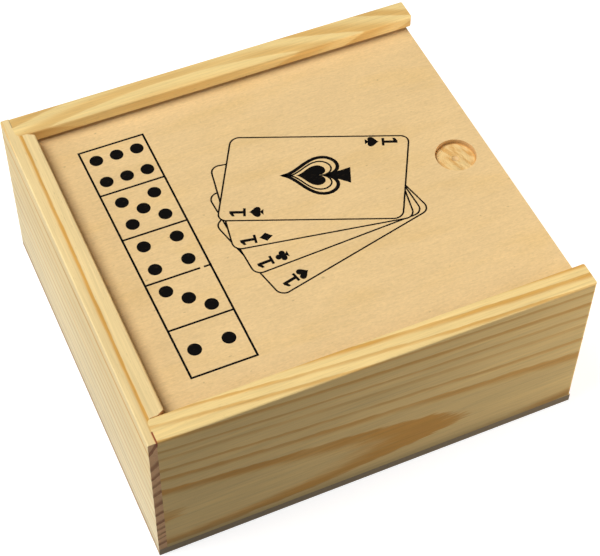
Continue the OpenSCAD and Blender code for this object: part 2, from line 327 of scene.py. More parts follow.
def seams(wood, colour, x, y, z):
    """Marks along the lip of the left end wall. At the front, glue came out of the joint and darkened to
    red brown. At the back the joint is dry, and shows as a thin grey line."""
    from_joint = wood.away(x, front_low[0])
    near_front = wood.fade(y, *(front_low[1] + GLUE_FROM_FRONT))
    near_top = wood.fade(z, *(front_high[2] - GLUE_FROM_TOP))
    near_back = wood.fade(y, *(back_high[1] - DRY_FROM_BACK))
    glue = wood.times(wood.times(wood.fade(from_joint, *GLUE_FROM_JOINT), near_front), near_top)
    dry = wood.times(wood.times(wood.fade(from_joint, *DRY_FROM_JOINT), near_back), DRY_SEAM_SHARE)
    return wood.mix(dry, wood.mix(glue, colour, GLUE), DRY_SEAM)


# %% Pine
# Size along, across and up in millimetres, detail and shift of each noise, and how far it goes
WANDER = (((90, 24, 24), 1, 0, 0.6), ((26, 5, 5), 2, 5, 0.55), ((8, 0.9, 0.9), 2, 8, 0.6))
PATCHES = ((45, 6, 6), 2, 9)
PINE_SWINGS = (((16, 0.45, 0.45), 3, 0, 0.32), ((30, 1.3, 1.3), 3, 4, 0.30), ((60, 12, 12), 4, 2, 0.30))
PINE_SPECKS = (((2.4, 0.28, 0.28), 0, 3, 0.14, 0.74, 0.82),)
# Heights at which the painted bounce light and the foot's dirt and painted shade start and are whole
PAINTED_BOUNCE_HEIGHTS = (70.0, 5.0)
FOOT_HEIGHTS = (10.5, 4.2)
# Share by which the foot darkens with dirt and painted shade, for boards along X and along Y
FOOT_DIRT_AND_SHADE = {"X": 0.36, "Y": 0.16}


def pine(
    name, along, pith, rings, drift=(0, 0), bend=(0, 0), strength=1.0, ends=0.9, seed=0.0,
    spring=SPRING_WOOD, sap=None,
):
    """Pine whose grain runs along X or Y. At the board's middle the pith lies at pith, across and up. Its
    place changes by drift for each millimetre along the board, and by bend for each millimetre squared.
    Strength is how dark the rings are along the grain, and ends is the same on the end grain. Where a colour
    of painted bounce light is given, the wood grows as pale as that towards the foot, as if the floor lit it."""
    wood = Finish(name, roughness=0.62, specular=0.3)
    x, y, z = wood.split(wood.place)
    run, across = (x, y) if along == "X" else (y, x)
    place = wood.join(run, across, z)
    away = []
    for value, middle, linear, square in zip((across, z), pith, drift, bend):
        slope = wood.number("MULTIPLY_ADD", run, square, linear)
        away.append(wood.number("SUBTRACT", value, wood.number("MULTIPLY_ADD", run, slope, middle)))
    radius = wood.vector("LENGTH", wood.join(0, *away))
    for *noise, reach in WANDER:
        swing = wood.number("SUBTRACT", wood.noise(*noise, seed, place), 0.5)
        radius = wood.number("MULTIPLY_ADD", swing, reach, radius)
    summer, ring_strength = ring_lines(wood, radius, rings)
    patchy = wood.fade(wood.noise(*PATCHES, seed, place), 0.0, 0.55)
    summer = wood.times(summer, wood.times(ring_strength, patchy))
    # Painted bounce light: the wood grows paler towards the foot, as if lit from the white floor
    if sap:
        spring = wood.mix(wood.fade(z, *PAINTED_BOUNCE_HEIGHTS), spring, sap)
    long_grain = wood.mix(wood.number("MULTIPLY", summer, strength, clamp=True), spring, SUMMER_WOOD)
    cut_grain = wood.mix(wood.number("MULTIPLY", summer, ends, clamp=True), END_SPRING, END_SUMMER)
    end_grain = wood.facing(0 if along == "X" else 1, 0.55, 0.85)
    colour = seams(wood, wood.mix(end_grain, long_grain, cut_grain), x, y, z)
    light, fibre = wood.grained(place, seed, PINE_SWINGS, PINE_SPECKS)
    # Darker towards the foot: dirt at the seam and painted shade, stronger on boards along X, whose faces
    # look along Y
    dirt_and_shade = wood.number("MULTIPLY_ADD", wood.fade(z, *FOOT_HEIGHTS), -FOOT_DIRT_AND_SHADE[along], 1.0)
    return wood.finish(wood.shade(colour, wood.times(light, dirt_and_shade)), bump=fibre, bump_height=0.06)


print("pine recipe ready, rings counted to", RADIUS_TOP, "mm")

# %% [markdown]
# ## The four pine boards
#
# Each board has its own trunk. The front wall is cut so that one ring just touches its face, and that is
# what draws the pointed flame. Its rings and those of the left end wall are set to where the photograph
# shows their lines. The back wall's top lies almost along the rings, and the bow in its pith draws arches.
# The left end wall grows paler towards its foot: painted light, as the white floor's bounce would give it.

# %% Cut the boards
FRONT_RINGS = (
    (44.2, 0.7, 0.5), (47.45, 1.0, 0.6), (50.5, 0.72, 0.45), (53.2, 0.65, 0.4), (57.4, 0.35, 0.4),
    (60.2, 0.65, 0.45), (64.7, 0.8, 0.42), (68.7, 0.6, 0.35), (71.6, 0.75, 0.55), (74.9, 0.85, 0.6),
    (78.0, 0.8, 0.45),
)
LEFT_RINGS = (
    (25.4, 1.0, 0.4), (32.0, 0.25, 0.5), (36.0, 0.5, 0.65), (40.3, 0.3, 0.5), (45.0, 0.5, 0.65),
    (51.3, 0.45, 0.5), (56.5, 0.4, 0.5), (61.9, 0.45, 0.5), (65.6, 0.3, 0.6), (68.8, 0.4, 0.6),
    (71.0, 0.3, 0.6), (74.9, 0.4, 0.6),
)
BACK_RINGS = (
    (34.5, 0.55, 0.9), (40.9, 0.55, 0.75), (46.9, 0.42, 0.85), (51.9, 0.25, 0.35), (56.0, 0.42, 0.4),
)
# The left end wall takes painted bounce light towards its foot
LEFT_WOOD = {"ends": 2.2, "spring": LEFT_SPRING_WOOD, "sap": LEFT_PAINTED_BOUNCE}
BOARDS = (
    ("front_wall", "X", (-120.7, 19.4), FRONT_RINGS, {"drift": (-0.0295, -0.0364), "bend": (0, 0.000236)}),
    ("back_wall", "X", (109.4, 45), BACK_RINGS, {"drift": (-0.0704, 0), "bend": (-0.0022, 0), "seed": 3}),
    ("left_end_wall", "Y", (-99, 79), LEFT_RINGS, {"drift": (0.01, 0), "seed": 6, **LEFT_WOOD}),
    ("right_end_wall", "Y", (30, 120), LEFT_RINGS, {"strength": 0.8, "seed": 11}),
)
for wall, along, pith, rings, others in BOARDS:
    dress([wall], pine("pine_" + wall.split("_")[0], along, pith, rings, **others))
print("pine boards dressed:", len(BOARDS))

# %% [markdown]
# ## Plywood
#
# Plywood shows two things: a quiet face veneer, peeled from the log like paper off a roll, with short fine
# flecks along its grain, and at every edge the stack of thin layers, whose middle one runs the other way
# and looks darker. The layers are read from the height of a point, so one recipe does faces and edges.

# %% Plywood sheets
LID_FACE = tone(233, 200, 145)
LID_CORE = tone(232, 194, 136)
PANEL_FACE = tone(214, 190, 150)
PANEL_CORE = tone(190, 164, 124)
# Dirt and painted shade on the front and back edges of the bottom panel
PANEL_SOIL_AND_SHADE = tone(128, 112, 84)
DIVIDER_CORE = tone(190, 150, 104)
VENEER_GLUE = tone(140, 98, 60)
CUT_EDGE = tone(184, 138, 78)
CUT_EDGE_SHARE = 0.55
WARM_TINT = (0.97, 0.93, 0.80)
WARM_SHARE = 0.5
# Distances from the middle, as shares of the sheet, at which a layer starts and is whole
CORE = (0.215, 0.19)
GLUE_INNER, GLUE_OUTER = (0.18, 0.2), (0.225, 0.205)
# As in the tables for pine
VENEER_WARMTH = ((30, 9, 9), 3, 13)
VENEER_SWINGS = (((9, 0.7, 0.7), 3, 0, 0.18), ((26, 12, 12), 4, 4, 0.16), ((1.1, 0.5, 0.5), 2, 2, 0.28))
VENEER_SPECKS = (((1.5, 0.3, 0.3), 1, 7, 0.10, 0.66, 0.76), ((2.2, 1.6, 1.6), 0, 11, 0.22, 0.83, 0.87))


def plywood(name, low, high, stack, along, face, core, seed, soil_and_shade):
    """Plywood between two heights in millimetres, measured along the axis stack. The outer layers are
    three tenths of the sheet each, and their grain runs along the axis along. Cut edges are browner than
    the faces. Where a colour of dirt and painted shade is given, the edges that look along Y take it."""
    sheet = Finish(name, roughness=0.58, specular=0.3)
    parts = sheet.split(sheet.place)
    place = sheet.join(parts[along], *(parts[k] for k in range(3) if k != along))
    depth = sheet.number("DIVIDE", sheet.number("SUBTRACT", parts[stack], low), high - low)
    from_middle = sheet.away(depth, 0.5)
    glue = sheet.times(sheet.fade(from_middle, *GLUE_INNER), sheet.fade(from_middle, *GLUE_OUTER))
    warmth = sheet.fade(sheet.noise(*VENEER_WARMTH, seed, place), 0.45, 0.75)
    colour = sheet.mix(sheet.times(warmth, WARM_SHARE), face, sheet.shade(face, 1.0, WARM_TINT))
    colour = sheet.mix(sheet.fade(from_middle, *CORE), colour, core)
    colour = sheet.mix(glue, colour, VENEER_GLUE)
    colour = sheet.mix(sheet.times(sheet.facing(stack, 0.8, 0.4), CUT_EDGE_SHARE), colour, CUT_EDGE)
    # Dirt and painted shade on the edges that look along Y
    if soil_and_shade:
        colour = sheet.mix(sheet.facing(1, 0.5, 0.9), colour, soil_and_shade)
    light, streak = sheet.grained(place, seed, VENEER_SWINGS, VENEER_SPECKS)
    return sheet.finish(sheet.shade(colour, light), bump=streak, bump_height=0.03)


# %% Dress the sheets
# Solid, finish, the axes of the stack and of the grain, face, core, seed, and the dirt and painted shade of
# each sheet
SHEETS = (
    ("lid", "lid_veneer", 2, 0, LID_FACE, LID_CORE, 1, None),
    ("bottom_panel", "panel_veneer", 2, 0, PANEL_FACE, PANEL_CORE, 2, PANEL_SOIL_AND_SHADE),
    ("long_divider", "long_divider_veneer", 1, 0, LID_FACE, DIVIDER_CORE, 0, None),
    ("short_divider", "short_divider_veneer", 0, 1, LID_FACE, DIVIDER_CORE, 0, None),
)
for sheet, name, stack, *others in SHEETS:
    low, high = span(sheet)
    dress([sheet], plywood(name, low[stack], high[stack], stack, *others))
print("plywood dressed:", len(SHEETS))

# %% [markdown]
# ## Small closed solids from profiles
#
# Ink and paint are thin, but they are still solids with a top, a rim and an underside. Two kinds of shape
# cover them. A plate or a lens is a few rings of points above one another, closed by a fan at either end.
# A stroke is a small rectangle carried along a path. Both are worked out as whole arrays of points.

# %% Shapes from arrays
def ring_faces(rings, columns, closed_rings=False):
    """Four-sided faces between neighbouring rings of points, each ring closed on itself."""
    first = np.arange(rings if closed_rings else rings - 1)[:, None]
    column = np.arange(columns)[None, :]
    here, beyond = first * columns, ((first + 1) % rings) * columns
    after = (column + 1) % columns
    corners = np.stack([here + column, here + after, beyond + after, beyond + column], -1)
    return corners.reshape(-1, 4).tolist()


def lofted(rings, start, end):
    """Points and faces of rings joined in turn, closed by a fan to a point at the start and at the end."""
    count, columns = len(rings), len(rings[0])
    column = np.arange(columns)
    after = (column + 1) % columns
    last, tip = (count - 1) * columns, np.full(columns, count * columns)
    fans = np.stack([(tip, after, column), (tip + 1, last + column, last + after)])
    fans = fans.transpose(0, 2, 1).reshape(-1, 3).tolist()
    return np.vstack([*rings, start, end]), ring_faces(count, columns) + fans


def at_height(outline, z):
    """Flat points at a height."""
    return np.column_stack([outline, np.full(len(outline), z)])


def plate(outline, centre, low, high):
    """A flat plate between two heights: the outline round its centre, with both faces closed."""
    rims = [at_height(outline, z) for z in (low, high)]
    return lofted(rims, (*centre, low), (*centre, high))


def stroke(path, width, low, high, closed=False):
    """A line of ink along a flat path: each point moves half the width to either side, along the bisector
    of the bend there, and by more where the bend is sharp, so that the line keeps its width."""
    path = np.asarray(path, float)
    ahead = np.roll(path, -1, 0) - path
    behind = path - np.roll(path, 1, 0)
    if not closed:
        ahead[-1], behind[0] = behind[-1], ahead[0]
    ahead, behind = (v / np.linalg.norm(v, axis=1, keepdims=True) for v in (ahead, behind))
    bisector = ahead + behind
    bisector /= np.linalg.norm(bisector, axis=1, keepdims=True)
    side = np.column_stack([-bisector[:, 1], bisector[:, 0]])
    half = width / 2 / np.maximum((bisector * ahead).sum(1, keepdims=True), 0.5)
    left, right = path + side * half, path - side * half
    corners = [(left, low), (right, low), (right, high), (left, high)]
    rings = np.stack([at_height(flat, z) for flat, z in corners], 1)
    points = rings.reshape(-1, 3)
    faces = ring_faces(len(path), 4, closed_rings=closed)
    if not closed:
        last = 4 * (len(path) - 1)
        faces += [[3, 2, 1, 0], [last, last + 1, last + 2, last + 3]]
    return points, faces


def piece(name, shapes, material, body):
    """One object from many shapes in millimetres. It rides on a body and wears the finish it is given."""
    points, faces, count = [], [], 0
    for shape_points, shape_faces in shapes:
        points.append(shape_points)
        faces += [[corner + count for corner in face] for face in shape_faces]
        count += len(shape_points)
    mesh = bpy.data.meshes.new(name)
    mesh.from_pydata((np.vstack(points) * MM).tolist(), [], faces)
    mesh.materials.append(material)
    made = add_object(name, mesh)
    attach(made, body)
    print(name, len(points), "shapes,", len(mesh.polygons), "faces")
    return made


# %% [markdown]
# ## The print on the lid
#
# The lid is screen printed in black: on the left a strip of five squares with the pips of dice from six down
# to two, and beside it a fan of four playing cards, each with a suit mark. Screen ink lies on the wood as a
# film, so the print is a set of very thin solids a hair above the lid. The strip is ruled by a few sizes,
# and every card is one rounded oblong, turned a little further than the last, that shows only where no card
# lies on top of it.

# %% Ink
INK_LOW = LID_TOP + 0.01
INK_HIGH = LID_TOP + 0.04
# Where shapes cross, the top of each is lifted above that of the last
INK_LAYER = 0.002


def ink_finish():
    """Matt black ink, a little worn, so that the fibres of the wood grey it here and there."""
    ink = Finish("lid_ink", roughness=0.75, specular=0.08)
    worn = ink.fade(ink.noise((2.0, 0.35, 0.35), detail=3), 0.60, 0.80)
    return ink.finish(ink.mix(worn, tone(9, 7, 6), tone(62, 47, 32)))


def ink_line(path, width, closed=False, lift=0.0):
    """A printed line."""
    return stroke(path, width, INK_LOW, INK_HIGH + lift, closed)


def ink_spot(outline, centre, lift=0.0):
    """A printed patch."""
    return plate(outline, centre, INK_LOW, INK_HIGH + lift)


LID_INK = ink_finish()

# %% The strip of dice faces
STRIP_LEFT = (-58.2, -57.0)
STRIP_RIGHT = -33.8
STRIP_RULES = (53.7, 31.7, 9.9, -11.6, -32.2, -52.5)
STRIP_COUNTS = (6, 5, 4, 3, 2)
CLOGGED_RULE = STRIP_RULES[3]
STRIP_GAP = [-37.6, -36.2]
STRIP_MIDDLE = -45.8
STRIP_LINE = 0.75
STRIP_PIP = 2.45
PIP_ROUND = 28
PIP_ACROSS = 6.05
PIP_UP = 5.4
PIP_ACROSS_SIX = 7.65


def spread(count):
    """Directions spread evenly over a full turn."""
    return np.linspace(0, 2 * math.pi, count, endpoint=False)


def reached(angle, reach):
    """Points at a reach from the origin in each direction: reach times its cosine, and times its sine."""
    return np.column_stack([reach * np.cos(angle), reach * np.sin(angle)])


def circle(radius, centre=(0, 0), count=PIP_ROUND):
    """Points round a circle."""
    return reached(spread(count), radius) + centre


def pip_spots(count):
    """Places of a face's pips on a grid of three by three."""
    spots = [(0, 0)] if count % 2 else []
    spots += [(-1, -1), (1, 1)] if count >= 2 else []
    spots += [(-1, 1), (1, -1)] if count >= 4 else []
    return spots + ([(-1, 0), (1, 0)] if count == 6 else [])


def strip_spots(count):
    """Places of the pips in a square of the strip, for two to six. Two lie level, the three runs down to
    the right, and the six lies on its side."""
    across = PIP_ACROSS_SIX if count == 6 else PIP_ACROSS
    own = {2: [(-1, 0), (1, 0)], 6: [(y, x) for x, y in pip_spots(6)]}
    spots = own.get(count, [(-x, y) for x, y in pip_spots(count)])
    return [(x * across, y * PIP_UP) for x, y in spots]


def strip_edge(height):
    """Where the strip's left edge, which leans a little, is at a height."""
    return np.interp(height, (STRIP_RULES[-1], STRIP_RULES[0]), STRIP_LEFT[::-1])


def strip_shapes():
    """The frame, the four rules between the squares and all their pips. One rule has a gap in it, where the
    screen was clogged."""
    top, foot = STRIP_RULES[0], STRIP_RULES[-1]
    corners = [(strip_edge(top), top), (strip_edge(foot), foot), (STRIP_RIGHT, foot), (STRIP_RIGHT, top)]
    shapes = [ink_line(corners, STRIP_LINE, closed=True)]
    for rule in STRIP_RULES[1:-1]:
        ends = [strip_edge(rule) + STRIP_LINE / 2, STRIP_RIGHT - STRIP_LINE / 2]
        if rule == CLOGGED_RULE:
            ends[1:1] = STRIP_GAP
        shapes += [ink_line([(a, rule), (b, rule)], STRIP_LINE) for a, b in zip(ends[::2], ends[1::2])]
    for count, above, below in zip(STRIP_COUNTS, STRIP_RULES, STRIP_RULES[1:]):
        for across, up in strip_spots(count):
            centre = (STRIP_MIDDLE + across, (above + below) / 2 + up)
            shapes.append(ink_spot(circle(STRIP_PIP, centre), centre))
    return shapes


piece("printed_dice_strip", strip_shapes(), LID_INK, "lid")

# %% The fan of cards
CARD_LONG = 64.5
CARD_SHORT = 39.0
CARD_CORNER = 3.2
CARD_LINE = 0.58
TOP_CARD_LEAN = 7.0
CORNERS = np.array([(1, 1), (-1, 1), (-1, -1), (1, -1)])
# Middle and turn in degrees of each card, from the top one down
CARDS = (((15.0, 10.2), -22.3), ((11.0, 4.6), -9.9), ((9.9, -1.1), 2.4), ((10.0, -7.3), 13.0))


def turned(points, degrees, middle=(0, 0), lean=0.0):
    """Flat points turned round the origin and then moved. A lean slants them first, sideways with height."""
    points = np.asarray(points, float)
    points = np.column_stack([points[:, 0] + points[:, 1] * math.tan(math.radians(lean)), points[:, 1]])
    c, s = math.cos(math.radians(degrees)), math.sin(math.radians(degrees))
    return points @ np.array([[c, s], [-s, c]]) + middle


def rounded_oblong(length, width, radius, arc=10):
    """An oblong round the origin, with a quarter circle at each corner, walked anticlockwise."""
    angle = np.linspace(0, math.pi / 2, arc)
    middles = CORNERS * (length / 2 - radius, width / 2 - radius)
    return np.vstack([m + reached(angle + k * math.pi / 2, radius) for k, m in enumerate(middles)])


def fine_path(corners, step=0.4):
    """The closed path through the corners, cut into even short steps."""
    closed = np.vstack([corners, corners[:1]])
    along = np.concatenate([[0], np.cumsum(np.linalg.norm(np.diff(closed, axis=0), axis=1))])
    places = np.linspace(0, along[-1], int(along[-1] / step), endpoint=False)
    return np.column_stack([np.interp(places, along, closed[:, k]) for k in (0, 1)])


def inside(points, outline):
    """Which points lie inside a convex outline walked anticlockwise: left of every one of its edges."""
    edge = np.roll(outline, -1, 0) - outline
    offset = points[:, None] - outline
    return (edge[:, 0] * offset[:, :, 1] - edge[:, 1] * offset[:, :, 0] > 0).all(1)


def runs(path, shown):
    """The stretches of a closed path whose points are shown, each as its own open path."""
    if shown.all():
        return [path]
    start = int(np.flatnonzero(~shown)[0])
    path, shown = np.roll(path, -start, 0), np.roll(shown, -start)
    edges = np.flatnonzero(np.diff(np.concatenate([[False], shown, [False]]).astype(int)))
    return [path[a:b] for a, b in zip(edges[::2], edges[1::2]) if b - a > 2]


def card_shapes():
    """The outlines of the fan, each hidden where a card above it lies."""
    shapes, above = [], []
    for k, (middle, turn) in enumerate(CARDS):
        lean = TOP_CARD_LEAN if k == 0 else 0
        outline = turned(rounded_oblong(CARD_LONG, CARD_SHORT, CARD_CORNER), turn, middle, lean)
        path = fine_path(outline)
        shown = np.all([~inside(path, card) for card in above], axis=0)
        shapes += [ink_line(run, CARD_LINE, closed=len(run) == len(path)) for run in runs(path, shown)]
        above.append(outline)
    return shapes


# %% Suit marks and the numeral
MARK_POINTS = 48
STEM_HEIGHT = 0.42
NUMERAL_HEIGHT = 5.7
SMALL_SUIT = 4.6
# The mark of each card, with the places of its numeral and of the mark
CORNER_MARKS = (
    ("spade", (-16.5, 6.1), (-10.5, 3.7)), ("diamond", (-17.9, -6.9), (-11.7, -7.9)),
    ("club", (-16.4, -18.1), (-10.1, -17.8)), ("heart", (-11.7, -28.6), (-6.3, -27.4)),
)
FAR_CORNER_MARK = ("spade", (46.7, 15.2), (40.8, 17.7))


def heart():
    """A heart one wide, point down: sixteen sines cubed across, and a sum of four cosines up, over 32."""
    t = spread(MARK_POINTS)
    up = 13 * np.cos(t) - 5 * np.cos(2 * t) - 2 * np.cos(3 * t) - np.cos(4 * t)
    return np.column_stack([-16 * np.sin(t) ** 3, up + 2.5]) / 32


def mirrored(half, height):
    """The outline that reaches half to either side at each height."""
    return np.column_stack([np.concatenate([half, -half[::-1]]), np.concatenate([height, height[::-1]])])


def stem(low):
    """The foot of a spade or club: its sides curve out from a narrow neck to a wide base."""
    up = np.linspace(0, 1, 8)
    return mirrored(0.05 + 0.24 * (1 - up) ** 2.2, low + up * STEM_HEIGHT)


def suit(kind):
    """The outlines of a suit mark about one high, point up, with a middle for each outline."""
    if kind == "heart":
        return [(heart(), (0, 0))]
    if kind == "diamond":
        turn = spread(MARK_POINTS)
        reach = 1 / (np.abs(np.cos(turn)) ** 0.92 / 0.40 + np.abs(np.sin(turn)) ** 0.92 / 0.52)
        return [(reached(turn, reach), (0, 0))]
    if kind == "spade":
        body = heart() * (1, -1) + (0, 0.1)
        return [(body[::-1], (0, 0.1)), (stem(-0.55), (0, -0.35))]
    balls = [(circle(0.235, place), place) for place in ((0, 0.26), (-0.24, -0.10), (0.24, -0.10))]
    return balls + [(stem(-0.52), (0, -0.35)), (circle(0.12), (0, 0))]


# A plain figure one, one high: an upright bar, a slanting flag and a short foot, each with its middle
NUMERAL_ONE = (
    ([(-0.1, -0.44), (0.1, -0.44), (0.1, 0.5), (-0.1, 0.5)], (0, 0)),
    ([(-0.32, 0.18), (-0.08, 0.26), (-0.08, 0.5), (-0.32, 0.34)], (-0.17, 0.33)),
    ([(-0.32, -0.5), (0.32, -0.5), (0.32, -0.34), (-0.32, -0.34)], (0, -0.42)),
)


def on_card(outlines, size, place, turn):
    """Marks drawn upright, at a size, turned so that their tops point to the card's left, set in place."""
    shapes = []
    for layer, (outline, middle) in enumerate(outlines):
        spots = turned(np.vstack([outline, [middle]]) * size, turn + 90, place)
        shapes.append(ink_spot(spots[:-1], spots[-1], INK_LAYER * layer))
    return shapes


def corner_mark(turn, kind, figure_place, mark_place):
    """The numeral in a card's corner, and the small suit mark beside it."""
    figure = on_card(NUMERAL_ONE, NUMERAL_HEIGHT, figure_place, turn)
    return figure + on_card(suit(kind), SMALL_SUIT, mark_place, turn)


def mark_shapes():
    """The marks in the corners that show, one for each card and another in the top card's far corner."""
    shapes = []
    for (_, turn), mark in zip(CARDS, CORNER_MARKS):
        shapes += corner_mark(turn, *mark)
    return shapes + corner_mark(CARDS[0][1] + 180, *FAR_CORNER_MARK)


# %% The large spade
BIG_SPADE = np.array((18.0, 22.5))
BIG_SPADE_PLACE = (13.9, 11.7)
SOLID_LEAF = 0.52
# Share of the spade's size and width of each line round the leaf
LEAF_LINES = ((0.955, 1.3), (0.73, 0.6))
LEAF_LIFT = 0.006
# Half width, height and lowest point of the spade's foot
SPADE_FOOT = (3.7, 9.0, -14.2)


def leaf(share):
    """The leaf at a share of the spade's size: a heart upside down, and longer."""
    return heart() * (1, -1) * share * BIG_SPADE


def big_spade_shapes():
    """A plain solid spade inside two plain lines of its own shape, on a wide foot. The lines are drawn a
    little above one another, because they cross the foot."""
    turn = CARDS[0][1]
    up = np.linspace(0, 1, 10)
    half, height, lowest = SPADE_FOOT
    foot = mirrored(half * (0.16 + 0.84 * (1 - up) ** 1.25), up * height + lowest)
    shapes = on_card([(leaf(SOLID_LEAF)[::-1], (0, 0)), (foot, (0, -12.5))], 1, BIG_SPADE_PLACE, turn)
    for layer, (share, width) in enumerate(LEAF_LINES):
        path = turned(leaf(share), turn + 90, BIG_SPADE_PLACE)
        shapes.append(ink_line(path, width, closed=True, lift=LEAF_LIFT + INK_LAYER * layer))
    return shapes


piece("printed_cards", card_shapes() + mark_shapes() + big_spade_shapes(), LID_INK, "lid")

# %% [markdown]
# ## The torn floor of the thumb recess
#
# A flat bit bored the recess into the lid and stopped in the middle layer, whose fibres it tore. The floor is
# a ring-shaped grid of points, round by radius, whose height comes from noise that is stretched along those
# fibres.

# %% Lay the recess floor
RECESS_RADIUS = 7.5
RECESS_FROM_EDGE = 12.7
RECESS_DEPTH = 2.0
RECESS_POINT = 1.25
RECESS_RINGS = 46
RECESS_COLUMNS = 120
RIM_GAP = 0.06
RIM_GROOVE = 0.7
BIT_PITCH = 0.8
BIT_SHARE = 0.05
TORN_UNDER, TORN_LOW = 0.01, 0.03
TORN_HEIGHT = 0.42
TORN_SLANT = 0.35
# Size along and across the fibres in millimetres, shift, seed and share of each noise
TORN_LAYERS = ((2.0, 5.0, 20, 4, 0.60), (0.8, 2.4, 20, 5, 0.28), (0.3, 0.8, 9, 6, 0.12))
LATTICE_SIZE = 64


def lattice_noise(x, y, seed):
    """Smooth noise from 0 to 1: random heights at whole numbers, blended by a cubic step between them."""
    heights = np.random.default_rng(seed).random((LATTICE_SIZE, LATTICE_SIZE))
    column, row = np.floor(x).astype(int), np.floor(y).astype(int)
    u, v = (w * w * (3 - 2 * w) for w in (x - column, y - row))
    (left, right), (low, high) = ((k % LATTICE_SIZE, (k + 1) % LATTICE_SIZE) for k in (column, row))
    below = heights[low, left] * (1 - u) + heights[low, right] * u
    return below * (1 - v) + (heights[high, left] * (1 - u) + heights[high, right] * u) * v


def recess_shape():
    """Torn fibres: three layers of stretched noise, faint rings from the bit, and a groove at the rim."""
    floor_z = LID_TOP - RECESS_DEPTH
    radius = np.linspace(RECESS_POINT, RECESS_RADIUS - RIM_GAP, RECESS_RINGS)[:, None]
    angle = spread(RECESS_COLUMNS)[None, :]
    x, y = radius * np.cos(angle), radius * np.sin(angle)
    torn = 0
    for along, across, shift, seed, share in TORN_LAYERS:
        torn = torn + share * lattice_noise((x + TORN_SLANT * y) / along + shift, y / across + shift, seed)
    rings = 0.5 + 0.5 * np.sin(2 * math.pi * radius / BIT_PITCH)
    rim = np.clip((RECESS_RADIUS - radius) / RIM_GROOVE, 0, 1)
    rough = (1 - BIT_SHARE) * torn ** 1.6 + BIT_SHARE * rings
    height = floor_z + TORN_LOW + TORN_HEIGHT * rim * rough
    top = np.stack([lid_high[0] - RECESS_FROM_EDGE + x, y, height], -1)
    low = top[[0, -1]]
    low[:, :, 2] = floor_z + TORN_UNDER
    rings_round = np.concatenate([low[:1], top, low[1:]])
    return rings_round.reshape(-1, 3), ring_faces(len(rings_round), RECESS_COLUMNS, closed_rings=True)


def torn_finish():
    """Torn wood: pale on the high fibres, orange and brown in the hollows between them."""
    torn = Finish("torn_fibres", roughness=0.8, specular=0.2)
    height = torn.number("SUBTRACT", torn.split(torn.place)[2], LID_TOP - RECESS_DEPTH)
    colour = torn.mix(torn.fade(height, 0.17, 0.04), tone(244, 210, 146), tone(222, 170, 96))
    fibre = torn.noise((0.35, 4, 4), detail=3)
    return torn.finish(torn.shade(colour, torn.number("MULTIPLY_ADD", fibre, 0.22, 0.88)), bump=fibre)


recess_floor = piece("recess_floor", [recess_shape()], torn_finish(), "lid")
recess_floor.data.polygons.foreach_set("use_smooth", [True] * len(recess_floor.data.polygons))

# %% [markdown]
# ## Dominoes and dice
#
# Each pip is a dimple that a round cutter left, with black paint pooled in it. The solids have the dimples,
# and a pool is a small lens: its underside follows the cutter's ball, its top sags a little. One lens is
# drawn once, with few faces, and set into every dimple by the same rule as on the solids.

# %% Fill the pips with paint
DOMINO_PIP, DOMINO_PIP_DEPTH, DOMINO_PIP_PITCH = 4.0, 0.6, 6.5
DIE_PIP, DIE_PIP_DEPTH, DIE_PIP_PITCH = 3.0, 0.6, 4.0
POOL_SIDES = 14
# Radii of the pool's rim and middle ring, as shares of the pip's diameter
POOL_RIM, POOL_RING = 0.46, 0.25
POOL_GAP = 0.015
POOL_EDGE = 0.01
POOL_SAG = (0.06, 0.08)
DOMINO_LINE = (12.2, 0.42)
DOMINO_LINE_HEIGHTS = (-0.58, -0.5)
DICE_TOPS = (6, 5, 4, 3, 2)


def pool(diameter, depth):
    """A lens of paint in a dimple whose rim lies on the plane of the origin. The ball that cut the dimple
    has the radius (half diameter squared plus depth squared) over twice the depth."""
    ball = (diameter ** 2 / 4 + depth ** 2) / (2 * depth)

    def sink(r):
        """Height of the pool's underside at a radius, a hair above the ball."""
        return ball - depth - math.sqrt(ball ** 2 - r ** 2) + POOL_GAP

    rim, ring = POOL_RIM * diameter, POOL_RING * diameter
    top = sink(rim) + POOL_EDGE
    levels = ((ring, sink(ring)), (rim, sink(rim)), (rim, top), (ring, top - POOL_SAG[0]))
    rings = [at_height(circle(r, count=POOL_SIDES), z) for r, z in levels]
    return lofted(rings, (0, 0, sink(0)), (0, 0, top - POOL_SAG[1]))


def moved(shape, offset, turn=np.eye(3)):
    """A copy of a shape, turned and then moved."""
    points, faces = shape
    return points @ turn.T + offset, faces


def domino_paint():
    """Pools in the pips of every domino, and a strip of paint in the line across its middle."""
    lens = pool(DOMINO_PIP, DOMINO_PIP_DEPTH)
    line = plate(CORNERS * DOMINO_LINE, (0, 0), *DOMINO_LINE_HEIGHTS)
    shapes = []
    for name in sorted(n for n in nodes if n.startswith("domino_")):
        low, high = span(name)
        middle = (low + high) / 2
        shapes.append(moved(line, (middle[0], middle[1], high[2])))
        for count, side in zip((int(v) for v in name.split("_")[1:]), (-1, 1)):
            centre = np.array([middle[0], middle[1] + side * (high[1] - low[1]) / 4, high[2]])
            for spot in pip_spots(count):
                shapes.append(moved(lens, centre + np.array([*spot, 0]) * DOMINO_PIP_PITCH))
    return shapes


def turn_about(axis, degrees):
    """The matrix of a turn about X, Y or Z."""
    return np.array(Matrix.Rotation(math.radians(degrees), 3, axis))


# The turn that takes the top of a die to each face
FACES = (("X", 0), ("Y", 90), ("X", -90), ("X", 90), ("Y", -90), ("X", 180))


